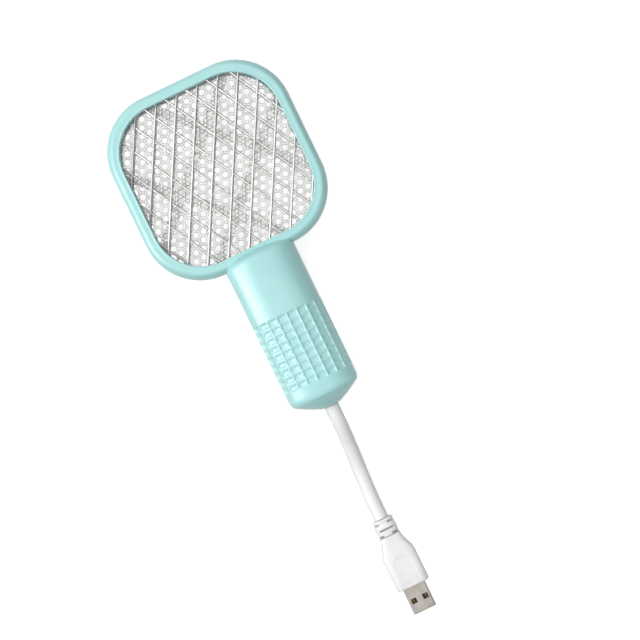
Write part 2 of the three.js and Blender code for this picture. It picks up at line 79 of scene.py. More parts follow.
HANDLE_END = front_low.y
HANDLE_TOP = HEAD_Y - OPENING_HALF - 1.1
HANDLE_HALF = 18.5
FRONT_RISE = front_high.z - MID_Z
REAR_RISE = 15.3                             # its flat back is cut at the floor
ROUNDNESS = 2.4                              # power of the superellipse section
END_TO = HEAD_Y - OPENING_HALF - 30          # the section narrows to END_HALF only below this
END_HALF = 5.4                               # blunt end round the lead
SOLID_END = 7.0                              # the end's wall, which holds the gland
GRIP = {"low": -75.05, "rows": 9, "pitch": 4.15, "columns": 5, "depth": 0.65, "margin": 0.35}
COLUMN_RIB, COLUMN_FLANK = 0.25, 0.5         # half width of a rib's top, and of its slope
ROW_RIB, ROW_FLANK = 0.15, 1.5
ROW_SINK = 0.35                              # share of a cell's depth that is left at a row's rib

FRAME_OUT, FRAME_IN = LEDGE - 0.3, 0.8       # flat frame of the grids, from the opening's edge
FRAME_HALF = 0.4                             # half its thickness
WIRE = {"angle": 28.7, "pitch": 9.92, "offsets": (-2.1, 3.3), "half": 0.52, "rise": 0.45,
        "from_middle": 3.5, "weave": 0.16, "reach": 75}
LIVE = {"pitch": 4.3, "hole": 1.5, "dot": 0.42, "tilt": 5.0, "half": 0.25, "past_edge": 1.5}
TAB = {"near": 2.5, "far": 7.5, "reach": 3.6}            # solder tabs on the three grids

HEAD_SCREW_REACH = 53.4 / math.sqrt(2)
HEAD_SCREWS = [(i * HEAD_SCREW_REACH, HEAD_Y + j * HEAD_SCREW_REACH)
               for i, j in ((-1, 1), (1, 1), (-1, -1), (1, -1))]
HANDLE_SCREWS = [(-11.5, -11), (11.5, -11), (-10.8, -76.5), (10.8, -76.5)]
SMALL = {"seat": 9.7, "tip": 17.5, "head": 1.6, "shank": 0.6,        # head screws
         "post": 2, "pilot": 0.8, "pilot_top": 19.2, "bore": 1.1, "sink": 1.8, "sink_top": 9.8}
LARGE = {"seat": 5.3, "tip": 21, "head": 2.3, "shank": 0.85,         # handle screws
         "post": 3, "pilot": 1.1, "pilot_top": 23.6, "bore": 1.5, "sink": 2.6, "sink_top": 5.4}

BUTTON_Y, LED_Y = -28.0, -16.5
BUTTON_HALF_X, BUTTON_HALF_Y, BUTTON_CORNER = 4, 7.5, 3.95
BUTTON_GAP = 0.3
LENS_HOLE = 1.9

GLAND_BORE, FLANGE_BORE, FLANGE_FROM, FLANGE_TO = 4.4, 6.3, 2.5, 5.3
PLUG_X, PLUG_Z, PLUG_THICK = -2.2, 4.5, 9.0
RELIEF_Y = HANDLE_END - 63
BODY_Y = RELIEF_Y - 9
BODY_LENGTH = 27.7
SHELL_Y = BODY_Y - BODY_LENGTH
SHELL_OUT, SHELL_IN = 13.6, 3.7              # how far the steel shell reaches out of and into it
CORD_DIAMETER = 7.4
CORD_ROUTE = [                               # the same points as in part.mjs
    (0, -88.8, 14.5), (0, -92, 14.4), (0, -95, 13.95), (-0.05, -99, 12.8), (-0.15, -103, 11.1),
    (-0.3, -107, 9.2), (-0.5, -111, 7.4), (-0.75, -115, 5.95), (-1, -119, 4.9),
    (-1.25, -123, 4.2), (-1.5, -127, 3.85), (-1.7, -131, 3.75), (-1.9, -135, 3.75),
    (-2.05, -139, 3.8), (-2.15, -143, 3.95), (-2.2, -147, 4.2), (-2.2, -149.5, 4.4),
    (-2.2, -151.6, 4.5),
]


# ---- mesh helpers ----------------------------------------------------------------------------
def smoothstep(value, low, high):
    t = min(max((value - low) / (high - low), 0.0), 1.0)
    return t * t * (3 - 2 * t)


def link(name, data):
    obj = bpy.data.objects.new(name, data)
    bpy.context.collection.objects.link(obj)
    return obj


def solid(name, points, faces):
    """Closed mesh object from points in millimetres, with its faces turned outwards."""
    mesh = bpy.data.meshes.new(name)
    mesh.from_pydata([Vector(p) * MM for p in points], [], faces)
    bm = bmesh.new()
    bm.from_mesh(mesh)
    bmesh.ops.remove_doubles(bm, verts=bm.verts, dist=1e-7)
    bmesh.ops.dissolve_degenerate(bm, edges=bm.edges, dist=1e-7)
    bmesh.ops.recalc_face_normals(bm, faces=bm.faces)
    if bm.calc_volume(signed=True) < 0:
        bmesh.ops.reverse_faces(bm, faces=bm.faces)
    bm.to_mesh(mesh)
    bm.free()
    return link(name, mesh)


def loft(name, loops, ring=False):
    """Skin over closed loops of points; a ring joins its last loop to its first."""
    count = len(loops[0])
    points = [p for loop in loops for p in loop]
    faces = []
    for i in range(len(loops) if ring else len(loops) - 1):
        a, b = i * count, (i + 1) % len(loops) * count
        for j in range(count):
            k = (j + 1) % count
            faces.append((a + j, a + k, b + k, b + j))
    if not ring:
        faces.append(tuple(range(count)))
        faces.append(tuple(range(len(points) - count, len(points))))
    return solid(name, points, faces)


def many(name, parts):
    """One object from solids that don't touch each other."""
    bm = bmesh.new()
    for part in parts:
        bm.from_mesh(part.data)
        bpy.data.objects.remove(part)
    mesh = bpy.data.meshes.new(name)
    bm.to_mesh(mesh)
    bm.free()
    return link(name, mesh)


def boolean(obj, *steps):
    """Applies (operation, tool) steps in order and removes the tools."""
    for operation, tool in steps:
        step = obj.modifiers.new("step", "BOOLEAN")
        step.operation = operation
        step.solver = "MANIFOLD"
        step.object = tool
    apply_modifiers(obj)
    for _, tool in steps:
        bpy.data.objects.remove(tool)
    return obj


def apply_modifiers(obj):
    bpy.context.view_layer.update()
    depsgraph = bpy.context.evaluated_depsgraph_get()
    mesh = bpy.data.meshes.new_from_object(obj.evaluated_get(depsgraph))
    obj.modifiers.clear()
    obj.data = mesh
    return obj


def round_loop(x, y, z, radius, sides):
    angles = [2 * math.pi * i / sides for i in range(sides)]
    return [(x + radius * math.cos(a), y + radius * math.sin(a), z) for a in angles]


def cylinder(x, y, z0, z1, radius, sides=24, top=None):
    """Upright round post; top is its radius at z1 if that differs."""
    ends = ((z0, radius), (z1, radius if top is None else top))
    return loft("post", [round_loop(x, y, z, r, sides) for z, r in ends])


def block(x0, x1, y0, y1, z0, z1):
    return loft("block", [[(x0, y0, z), (x1, y0, z), (x1, y1, z), (x0, y1, z)] for z in (z0, z1)])


def turned(name, profile, centre, axis="Z", sides=32):
    """Solid of revolution: profile is (radius, distance along the axis) pairs from centre."""
    loops = []
    for radius, along in profile:
        loop = []
        for i in range(sides):
            a = 2 * math.pi * i / sides
            c, s = radius * math.cos(a), radius * math.sin(a)
            spot = {"Z": (c, s, along), "Y": (c, along, s), "X": (along, c, s)}[axis]
            loop.append(tuple(Vector(centre) + Vector(spot)))
        loops.append(loop)
    return loft(name, loops)


def rounded_loop(x, y, half_x, half_y, radius, z, steps=10):
    """Loop of a rectangle with round corners."""
    loop = []
    for quarter, (sx, sy) in enumerate(((1, 1), (-1, 1), (-1, -1), (1, -1))):
        for k in range(steps + 1):
            a = math.radians(90 * (quarter + k / steps))
            loop.append((x + sx * (half_x - radius) + radius * math.cos(a),
                         y + sy * (half_y - radius) + radius * math.sin(a), z))
    return loop


def spline_points(points, per_span):
    """Points on a Catmull-Rom curve through the given ones."""
    knots = [Vector(p) for p in points]
    knots = [2 * knots[0] - knots[1], *knots, 2 * knots[-1] - knots[-2]]
    made = []
    for i in range(1, len(knots) - 2):
        p0, p1, p2, p3 = knots[i - 1:i + 3]
        for k in range(per_span):
            t = k / per_span
            made.append(0.5 * (2 * p1 + (p2 - p0) * t + (2 * p0 - 5 * p1 + 4 * p2 - p3) * t ** 2
                               + (3 * p1 - p0 - 3 * p2 + p3) * t ** 3))
    return [*made, knots[-2]]


def tube(name, points, radius, sides=12, flat=None):
    """Bar along points; flat is its half height if it is oval."""
    loops = []
    side = None
    for i, point in enumerate(points):
        ahead = Vector(points[min(i + 1, len(points) - 1)])
        along = (ahead - Vector(points[max(i - 1, 0)])).normalized()
        if side is None:
            side = along.orthogonal() if abs(along.z) > 0.9 else along.cross(Vector((0, 0, 1)))
        side = (side - along * side.dot(along)).normalized()
        up = along.cross(side)
        loop = []
        for k in range(sides):
            a = 2 * math.pi * k / sides
            loop.append(tuple(Vector(point) + side * radius * math.cos(a)
                              + up * (flat or radius) * math.sin(a)))
        loops.append(loop)
    return loft(name, loops)


def shade(obj, degrees):
    """Smooth shading that stays crisp at edges sharper than so many degrees."""
    obj.data.shade_smooth()
    obj.data.set_sharp_from_angle(angle=math.radians(degrees))


# ---- camera, light and floor -----------------------------------------------------------------
CAMERA_ROLL = math.radians(-25.8)            # the swatter leans this far in the picture
CAMERA_X, CAMERA_Y, CAMERA_RISE = 0.0134, -0.0485, 0.882
LIGHT_AIM = Vector((0, -0.05, 0.0145))
FLOOR_RADIUS, FLOOR_LOW, FLOOR_TOP = 4000, -30, -0.05     # millimetres


def camera():
    """Camera that looks straight down, square onto the mesh."""
    data = bpy.data.cameras.new("camera")
    data.lens = 100
    data.sensor_width = 36
    data.clip_start = 0.01
    obj = link("camera", data)
    obj.location = (CAMERA_X, CAMERA_Y, MID_Z * MM + CAMERA_RISE)
    obj.rotation_euler = (0, 0, CAMERA_ROLL)
    bpy.context.scene.camera = obj


def area_light(name, towards, distance, size, power):
    """Soft box that shines at the middle of the swatter from a direction in the part's frame."""
    data = bpy.data.lights.new(name, "AREA")
    data.shape = "RECTANGLE"
    data.size, data.size_y = size
    data.energy = power
    obj = link(name, data)
    obj.visible_camera = False
    direction = Vector(towards).normalized()
    obj.location = LIGHT_AIM + direction * distance
    obj.rotation_euler = direction.to_track_quat("Z", "Y").to_euler()
    return obj


def node(tree, kind, inputs=None, **settings):
    """Adds a node; an input is given a value or another node's output."""
    made = tree.nodes.new(kind)
    for key, value in settings.items():
        setattr(made, key, value)
    for key, value in (inputs or {}).items():
        if isinstance(value, bpy.types.NodeSocket):
            tree.links.new(value, made.inputs[key])
        else:
            made.inputs[key].default_value = value
    return made


def studio():
    """Soft white dome, brightest overhead to the picture's upper left, and four soft boxes.

    The camera itself sees the dome as a plain white backdrop. Two of the boxes add only gloss.
    """
    world = bpy.data.worlds.new("studio")
    bpy.context.scene.world = world
    world.use_nodes = True
    tree = world.node_tree
    background = tree.nodes["Background"]
    background.inputs["Color"].default_value = (1, 1, 1, 1)
    direction = node(tree, "ShaderNodeTexCoord").outputs["Generated"]
    towards = Vector((-0.38, 0.25, 0.89)).normalized()
    facing = node(tree, "ShaderNodeVectorMath", {0: direction, 1: towards},
                  operation="DOT_PRODUCT")
    glow = node(tree, "ShaderNodeMapRange", {
        "Value": facing.outputs["Value"], "From Min": 0.2, "From Max": 0.9,
        "To Min": 0.1, "To Max": 1.42}, interpolation_type="SMOOTHSTEP")
    backdrop = node(tree, "ShaderNodeMix", {
        "Factor": node(tree, "ShaderNodeLightPath").outputs["Is Camera Ray"],
        "A": glow.outputs["Result"], "B": 1.0})
    tree.links.new(backdrop.outputs["Result"], background.inputs["Strength"])
    area_light("key_light", (-0.62, 0.3, 0.72), 1.1, (0.4, 0.5), 3.0)
    area_light("card_light", (0.85, -0.5, 0.25), 0.2, (0.08, 0.16), 0.055)
    strip = area_light("strip_light", (-0.846, 0.05, 0.533), 0.9, (0.1, 0.7), 2.9)
    side = area_light("side_light", (-0.97, 0.05, 0.25), 0.9, (0.35, 0.9), 4.0)
    for gloss_only in (strip, side):
        gloss_only.visible_diffuse = False


def floor():
    """Pale round floor that glows a little, so that it stays white under the soft light."""
    obj = loft("floor", [round_loop(0, 0, z, FLOOR_RADIUS, 48) for z in (FLOOR_LOW, FLOOR_TOP)])
    material, tree, shader = new_material("floor_pale")
    noise = node(tree, "ShaderNodeTexNoise", {"Vector": coordinates(tree), "Scale": 9.0})
    shade_of = node(tree, "ShaderNodeMapRange", {
        "Value": noise.outputs["Fac"], "To Min": 0.40, "To Max": 0.42})
    tree.links.new(shade_of.outputs["Result"], shader.inputs["Base Color"])
    shader.inputs["Roughness"].default_value = 0.9
    shader.inputs["Specular IOR Level"].default_value = 0.1
    shader.inputs["Emission Color"].default_value = (1, 1, 1, 1)
    shader.inputs["Emission Strength"].default_value = 0.8
    obj.data.materials.append(material)
    obj.visible_diffuse = False


# ---- materials -------------------------------------------------------------------------------
def linear(red, green, blue):
    """Scene colour from a 0-255 display colour."""
    def one(value):
        v = value / 255
        return v / 12.92 if v <= 0.04045 else ((v + 0.055) / 1.055) ** 2.4
    return (one(red), one(green), one(blue), 1.0)


def new_material(name):
    material = bpy.data.materials.new(name)
    material.use_nodes = True
    tree = material.node_tree
    return material, tree, tree.nodes["Principled BSDF"]


def coordinates(tree):
    """Object coordinates, which are metres in the part's own frame."""
    return node(tree, "ShaderNodeTexCoord").outputs["Object"]


def finish_material(name, colour, tint, roughness, grain, bump, metal=0.0, patch=55.0, **sockets):
    """Material whose colour drifts towards tint in patches, with a fine grain in its gloss.

    roughness is (lowest, highest). patch and grain are the scales per metre of the broad and the
    fine noise, and bump is the fine noise's height in millimetres. sockets are the shader's own
    values.
    """
    material, tree, shader = new_material(name)
    where = coordinates(tree)
    broad = node(tree, "ShaderNodeTexNoise", {"Vector": where, "Scale": patch, "Detail": 3.0})
    drift = node(tree, "ShaderNodeMapRange", {
        "Value": broad.outputs["Fac"], "From Min": 0.35, "From Max": 0.65},
        interpolation_type="SMOOTHSTEP")
    mixed = node(tree, "ShaderNodeMix", {
        "Factor": drift.outputs["Result"], "A": colour, "B": tint}, data_type="RGBA")
    fine = node(tree, "ShaderNodeTexNoise", {"Vector": where, "Scale": grain, "Detail": 4.0})
    gloss = node(tree, "ShaderNodeMapRange", {
        "Value": fine.outputs["Fac"], "From Min": 0.3, "From Max": 0.7,
        "To Min": roughness[0], "To Max": roughness[1]})
    relief = node(tree, "ShaderNodeBump", {
        "Height": fine.outputs["Fac"], "Strength": 1.0, "Distance": bump * MM})
    tree.links.new(mixed.outputs["Result"], shader.inputs["Base Color"])
    tree.links.new(gloss.outputs["Result"], shader.inputs["Roughness"])
    tree.links.new(relief.outputs["Normal"], shader.inputs["Normal"])
    shader.inputs["Metallic"].default_value = metal
    for key, value in sockets.items():
        shader.inputs[key.replace("_", " ")].default_value = value
    return material


def make_materials():
    """The object's finishes by name."""
    made = {}
    made["teal"] = finish_material(
        "teal_moulding", linear(164, 216, 215), linear(169, 219, 218), (0.26, 0.36), 1800, 0.006,
        Specular_IOR_Level=0.55)
    made["alloy"] = finish_material(
        "bright_alloy", linear(214, 214, 212), linear(194, 194, 192), (0.16, 0.36), 900, 0.01,
        metal=1.0, patch=220.0)
    made["wire"] = finish_material(
        "drawn_wire", linear(206, 206, 204), linear(190, 190, 188), (0.3, 0.45), 1500, 0.008,
        metal=1.0, patch=160.0)
    made["screw"] = finish_material(
        "zinc_plate", linear(200, 202, 204), linear(184, 186, 188), (0.22, 0.4), 2500, 0.004,
        metal=1.0, patch=400.0)
    made["grey"] = finish_material(
        "grey_moulding", linear(236, 236, 235), linear(229, 229, 228), (0.45, 0.6), 2200, 0.01)
    made["lead"] = finish_material(
        "white_pvc", linear(232, 232, 233), linear(227, 227, 228), (0.42, 0.55), 1600, 0.008,
        Subsurface_Weight=0.5, Subsurface_Radius=(1.0, 1.0, 1.0), Subsurface_Scale=0.004)
    made["white"] = finish_material(
        "white_moulding", linear(242, 243, 242), linear(236, 238, 237), (0.3, 0.42), 2000, 0.006)
    made["plug_shell"] = finish_material(
        "plug_steel", linear(174, 168, 162), linear(160, 154, 149), (0.25, 0.4), 1400, 0.004,
        metal=1.0, patch=180.0)
    # Gold plate darker than bare gold: painted shade of the plug shell's cavity that the contacts lie
    # in.
    made["gold_darkened_for_shade"] = finish_material(
        "contact_plate_painted_shade", linear(128, 98, 56), linear(112, 84, 46), (0.35, 0.5), 3000, 0.002,
        metal=1.0, patch=600.0)
    made["black"] = finish_material(
        "black_moulding", linear(40, 41, 43), linear(50, 51, 53), (0.4, 0.6), 2600, 0.01)
    made["board"] = finish_material(
        "solder_mask", linear(28, 110, 66), linear(22, 92, 54), (0.25, 0.4), 3000, 0.004,
        patch=300.0)
    made["ferrite"] = finish_material(
        "ground_ferrite", linear(62, 62, 64), linear(50, 50, 52), (0.5, 0.75), 3500, 0.012)
    made["red_epoxy"] = finish_material(
        "red_epoxy", linear(176, 52, 36), linear(160, 44, 30), (0.15, 0.3), 900, 0.02)
    made["red_wire"] = finish_material(
        "red_insulation", linear(196, 40, 32), linear(180, 34, 28), (0.35, 0.5), 2500, 0.006)
    made["cell"] = finish_material(
        "cell_sleeve", linear(52, 120, 186), linear(44, 108, 172), (0.25, 0.35), 1200, 0.006)
    made["foam"] = finish_material(
        "closed_foam", linear(120, 122, 124), linear(104, 106, 108), (0.8, 0.95), 2400, 0.08)
    made["red_clear"] = finish_material(
        "red_lens", linear(220, 40, 34), linear(205, 30, 28), (0.05, 0.12), 1500, 0.002,
        Transmission_Weight=0.8, IOR=1.5)
    made["clear"] = finish_material(
        "clear_lens", linear(236, 240, 240), linear(226, 232, 232), (0.06, 0.14), 1500, 0.002,
        Transmission_Weight=0.9, IOR=1.49)
    made["winding"] = winding_material()
    return made


def winding_material():
    """Enamelled copper laid turn beside turn. Its colour darkens in the grooves between turns, which
    is painted shade; the bump gives the real relief.
    """
    material, tree, shader = new_material("copper_winding_groove_shade")
    turns = node(tree, "ShaderNodeTexWave", {
        "Vector": coordinates(tree), "Scale": 420.0, "Distortion": 0.6, "Detail": 2.0},
        wave_type="BANDS", bands_direction="Z")
    # Painted shade: dark copper where the bands dip into the grooves, bright copper on the turns.
    mixed = node(tree, "ShaderNodeMix", {
        "Factor": turns.outputs["Fac"], "A": linear(110, 48, 22), "B": linear(206, 118, 66)},
        data_type="RGBA")
    gloss = node(tree, "ShaderNodeMapRange", {
        "Value": turns.outputs["Fac"], "To Min": 0.25, "To Max": 0.4})
    relief = node(tree, "ShaderNodeBump", {
        "Height": turns.outputs["Fac"], "Distance": 0.1 * MM})
    tree.links.new(mixed.outputs["Result"], shader.inputs["Base Color"])
    tree.links.new(gloss.outputs["Result"], shader.inputs["Roughness"])
    tree.links.new(relief.outputs["Normal"], shader.inputs["Normal"])
    shader.inputs["Metallic"].default_value = 0.8
    return material


def place(obj, look, slot, *replaced, body=FIXED, smooth=35):
    """Gives a piece its finish, its body and the CAD nodes that it stands for."""
    shade(obj, smooth)
    obj.data.materials.clear()
    obj.data.materials.append(LOOKS[look])
    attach(obj, body)
    if replaced:
        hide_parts(*replaced)
    return obj


def dress(name, look, edge):
    """Gives a CAD node its finish and rounds its edges by so many millimetres."""
    obj = NODES[name]
    for material_slot in obj.material_slots:
        material_slot.material = LOOKS[look]
    rounding = obj.modifiers.new("edge", "BEVEL")
    rounding.width = edge * MM
    rounding.segments = 3
    rounding.limit_method = "ANGLE"
    rounding.angle_limit = math.radians(40)
    rounding.harden_normals = True


# ---- shells ----------------------------------------------------------------------------------
def head_loop(out, z, steps=14):
    """Outline of the head, so many millimetres outwards from the opening's edge."""
    half = OPENING_HALF + out
    corner = OPENING_CORNER + (HEAD_CORNER - OPENING_CORNER) * out / RIM_WIDTH
    return rounded_loop(0, HEAD_Y, half, half, corner, z, steps)


def head_slab(out, z0, z1, steps=14):
    return loft("slab", [head_loop(out, z0, steps), head_loop(out, z1, steps)])


def head_ring(inner, outer, z0, z1):
    corners = ((inner, z0), (inner, z1), (outer, z1), (outer, z0))
    return loft("ring", [head_loop(out, z) for out, z in corners], ring=True)


def rim_profile():
    """Rim section: (distance from the opening's edge, rise) pairs, with a bead at that edge."""
    points = [(0, SEAM), (0, 6.75), (0.06, 7.05), (0.2, 7.26), (0.4, 7.36), (0.62, 7.36),
              (0.9, 7.26), (1.2, 7.17), (1.6, 7.16), (2.3, RIM_RISE)]
    for degrees in range(84, -1, -7):
        a = math.radians(degrees)
        points.append((RIM_ARC_START + (RIM_WIDTH - RIM_ARC_START) * math.cos(a),
                       RIM_ARC_FOOT + (RIM_RISE - RIM_ARC_FOOT) * math.sin(a)))
    return [*points, (RIM_WIDTH, SEAM)]


def rim(side, inset=0.0):
    """Front (side 1) or back half of the head's rim, or the same drawn in by inset."""
    loops = []
    for out, rise in rim_profile():
        out = min(max(out, inset), RIM_WIDTH - inset)
        rise = max(rise - inset, SEAM)
        loops.append(head_loop(out, MID_Z + side * rise, 20))
    return loft("rim", loops, ring=True)


def end_stations():
    """The handle's end: a small round edge, a slightly full cone and a round shoulder."""
    edge, cone, shoulder = (0.5, 0.075), (6, 0.88), (10.2, 1.0)   # (along, share) where each ends
    knee = (7, 1.0)                                               # guides the shoulder's curve
    rows = [(0, 0.0), (0.15, 0.03), edge]
    for t in (0.2, 0.4, 0.6, 0.8):
        rows.append((edge[0] + (cone[0] - edge[0]) * t,
                     edge[1] + (cone[1] - edge[1]) * t + 0.045 * math.sin(math.pi * t)))
    for k in range(9):
        t = k / 8
        rows.append(tuple(a * (1 - t) ** 2 + 2 * b * t * (1 - t) + c * t * t
                          for a, b, c in zip(cone, knee, shoulder)))
    return [(HANDLE_END + along, share) for along, share in rows]


def handle_stations(inset=0.0):
    """(y, share of the full section) along the handle, from the lead's end to the head."""
    if inset:
        rows = [(HANDLE_END + SOLID_END, 1.0)]
    else:
        rows = end_stations() + [(y, 1.0) for y in (*grip_rows(), -30, -22, -15)]
    rounding, power = 5.3, 2.2
    start = HANDLE_TOP - rounding - inset
    for t in (0, 0.12, 0.24, 0.36, 0.48, 0.6, 0.7, 0.79, 0.86, 0.92, 0.96, 0.985, 0.996, 0.9996):
        rows.append((start + rounding * t, (1 - t ** power) ** (1 / power)))
    return rows


def pitch_marks(pitch, count, rib, slope):
    """Places across ribs at which the grip's surface is sampled."""
    marks = []
    flank = [rib + slope * k for k in (0, 0.25, 0.5, 0.75, 1)]
    for i in range(count):
        edges = [0, *flank, pitch / 2, *[pitch - m for m in reversed(flank)]]
        marks += [i * pitch + m for m in edges]
    return [*marks, count * pitch]


def grip_rows():
    """Places along the handle at which the grip is sampled, with one just past each end."""
    marks = pitch_marks(GRIP["pitch"], GRIP["rows"], ROW_RIB, ROW_FLANK)
    with_margin = [marks[0] - GRIP["margin"], *marks, marks[-1] + GRIP["margin"]]
    return [GRIP["low"] + m for m in with_margin]


def grip_depth(along, across, pitch):
    """How far a cell of the grip sinks below the surface, in millimetres."""
    rows = GRIP["rows"] * GRIP["pitch"]
    v = along - GRIP["low"]
    if not 0 < v < rows:
        return 0.0
    near_row = abs(v / GRIP["pitch"] - round(v / GRIP["pitch"])) * GRIP["pitch"]
    near_column = abs(across / pitch - round(across / pitch)) * pitch
    between_rows = ROW_SINK + (1 - ROW_SINK) * smoothstep(near_row, ROW_RIB, ROW_RIB + ROW_FLANK)
    between_columns = smoothstep(near_column, COLUMN_RIB, COLUMN_RIB + COLUMN_FLANK)
    into = smoothstep(min(v, rows - v), 0.0, GRIP["pitch"] / 4)
    return GRIP["depth"] * into * between_rows * between_columns


def section_table(half, rise, steps=900):
    """(distance round the surface from the crown, angle) pairs of the handle's section."""
    table, last = [], None
    total = 0.0
    for i in range(steps + 1):
        angle = math.pi / 2 * (1 - i / steps)
        spot = section_spot(angle, half, rise)
        if last:
            total += math.dist(spot, last)
        table.append((total, angle))
        last = spot
    return table


def section_spot(angle, half, rise):
    """Point of the superellipse section: (x, rise)."""
    c, s = math.cos(angle), math.sin(angle)
    power = 2 / ROUNDNESS
    return (math.copysign(abs(c) ** power, c) * half, max(s, 0.0) ** power * rise)


def section_columns(rise):
    """(distance from the crown, angle) pairs of the section's samples, and the ribs' pitch."""
    table = section_table(HANDLE_HALF, rise)
    pitch = table[-1][0] / GRIP["columns"]
    columns = []
    step = 0
    for distance in pitch_marks(pitch, GRIP["columns"], COLUMN_RIB, COLUMN_FLANK):
        while step < len(table) - 1 and table[step][0] < distance:
            step += 1
        columns.append((distance, table[step][1]))
    mirrored = [(-d, math.pi - a) for d, a in reversed(columns[1:])]
    return mirrored + columns, pitch


def section_slope(x, rise, half, high):
    """Unit vector straight out of the section's surface at one of its points."""
    power = ROUNDNESS - 1
    return Vector((math.copysign(abs(x / half) ** power / half, x),
                   (rise / high) ** power / high)).normalized()


def handle(side):
    """Front (side 1) or back half of the handle's outer body, with its grip."""
    full_rise = FRONT_RISE if side > 0 else REAR_RISE
    columns, pitch = section_columns(full_rise)
    loops = []
    for y, share in handle_stations():
        blunt = END_HALF if y < END_TO else 0.0
        half = blunt + (HANDLE_HALF - blunt) * share
        high = blunt + (full_rise - blunt) * share
        loop = []
        for across, angle in columns:
            x, rise = section_spot(angle, half, high)
            z = max(MID_Z + side * rise, 0.0)
            sink = grip_depth(y, across, pitch)
            if sink:
                out = section_slope(x, rise, half, high)
                x, z = x - out.x * sink, z - side * out.y * sink
            loop.append((x, y, max(z, MID_Z + SEAM) if side > 0 else min(z, MID_Z - SEAM)))
        loops.append(loop)
    return loft("handle", loops)


def handle_core(side, inset):
    """The handle's plain form drawn in by inset, which also crosses the parting plane."""
    full_rise = FRONT_RISE if side > 0 else REAR_RISE
    columns, _ = section_columns(full_rise)
    loops = []
    for y, share in handle_stations(inset):
        half, high = (HANDLE_HALF - inset) * share, (full_rise - inset) * share
        spots = [section_spot(angle, half, high) for _, angle in columns]
        loop = [(x, y, MID_Z + side * rise) for x, rise in spots]
        loops.append(loop + [(half, y, MID_Z - side), (-half, y, MID_Z - side)])
    return loft("handle", loops)


def gland_bore():
    profile = [(GLAND_BORE, -1), (GLAND_BORE, FLANGE_FROM), (FLANGE_BORE, FLANGE_FROM),
               (FLANGE_BORE, FLANGE_TO), (GLAND_BORE, FLANGE_TO), (GLAND_BORE, SOLID_END + 1)]
    return turned("bore", profile, (0, HANDLE_END, MID_Z), "Y", 48)


def shell_half(name, side):
    """Hollow half with its screw posts, still without screw holes."""
    low, high = (MID_Z + SEAM, 2 * MID_Z) if side > 0 else (0, MID_Z - SEAM)
    shell = boolean(rim(side), ("UNION", handle(side)))
    channel = MID_Z - side * 1.0, MID_Z + side * CHANNEL_RISE
    boolean(shell, ("DIFFERENCE", handle_core(side, WALL)),
            ("DIFFERENCE", head_ring(-1, LEDGE, min(channel), max(channel))),
            ("DIFFERENCE", gland_bore()))
    posts = many("posts", [cylinder(x, y, low, high, LARGE["post"]) for x, y in HANDLE_SCREWS])
    boolean(posts, ("INTERSECT", handle_core(side, WALL / 2)))
    corners = many("corners", [cylinder(x, y, low, high, SMALL["post"]) for x, y in HEAD_SCREWS])
    boolean(corners, ("INTERSECT", rim(side, 0.5)))
    boolean(shell, ("UNION", posts), ("UNION", corners))
    shell.name = name
    return shell


def front_shell():
    shell = shell_half("shell_front", 1)
    pilots = []
    for kind, spots in ((LARGE, HANDLE_SCREWS), (SMALL, HEAD_SCREWS)):
        pilots += [cylinder(x, y, MID_Z - 1, kind["pilot_top"], kind["pilot"], 16)
                   for x, y in spots]
    boolean(shell, ("DIFFERENCE", many("pilots", pilots)))
    place(shell, "teal", "shell_teal", "front_shell", smooth=38)


def rear_shell():
    """Back half, with screw wells, the button's hole and the lamp's hole; mouths soften edges."""
    shell = shell_half("shell_rear", -1)
    bores, sinks = [], []
    for kind, spots, low in ((LARGE, HANDLE_SCREWS, -1), (SMALL, HEAD_SCREWS, 0)):
        bores += [cylinder(x, y, low, MID_Z, kind["bore"]) for x, y in spots]
        sinks += [cylinder(x, y, low, kind["sink_top"], kind["sink"], 32) for x, y in spots]
    bores += [cylinder(0, LED_Y, -1, 4, LENS_HOLE, 32)]
    mouths = [cylinder(x, y, -0.6, 0.35, 3.4, 32, 2.5) for x, y in HANDLE_SCREWS]
    mouths += [cylinder(0, LED_Y, -0.6, 0.4, 2.8, 32, 1.8)]
    half_x, half_y = BUTTON_HALF_X + BUTTON_GAP, BUTTON_HALF_Y + BUTTON_GAP
    hole = loft("hole", [
        rounded_loop(0, BUTTON_Y, half_x + out, half_y + out, BUTTON_CORNER + BUTTON_GAP + out, z, 12)
        for out, z in ((0.9, -0.6), (0.3, 0.0), (0.0, 0.5), (0.0, 5.0))])
    boolean(shell, ("DIFFERENCE", many("bores", bores)), ("DIFFERENCE", many("sinks", sinks)),
            ("DIFFERENCE", many("mouths", mouths)), ("DIFFERENCE", hole))
    place(shell, "teal", "shell_teal", "rear_shell", smooth=38)


# ---- grids -----------------------------------------------------------------------------------
def screw_notches(z0, z1):
    return many("notches", [cylinder(x, y, z0, z1, 2.3, 20) for x, y in HEAD_SCREWS])


def solder_tab(side, low, high):
    """Tab of a grid that reaches into the handle, on the +X (side 1) or -X side."""
    edge = HEAD_Y - OPENING_HALF - FRAME_OUT
    near, far = sorted((side * TAB["near"], side * TAB["far"]))
    return block(near, far, edge - TAB["reach"], edge + 1, low, high)


def wire_family(degrees, offset, z):
    """Parallel wires that cross the head at an angle to the handle."""
    lean = math.radians(degrees)
    along = Vector((math.sin(lean), math.cos(lean), 0)) * WIRE["reach"]
    across = Vector((math.cos(lean), -math.sin(lean), 0))
    farthest = OPENING_HALF * 1.32
    wires = []
    for i in range(-7, 8):
        shift = offset + i * WIRE["pitch"]
        if abs(shift) < farthest:
            middle = Vector((0, HEAD_Y, z)) + across * shift
            ends = [tuple(middle - along), tuple(middle + along)]
            wires.append(tube("wire", ends, WIRE["half"], 14, WIRE["rise"]))
    return many("wires", wires)


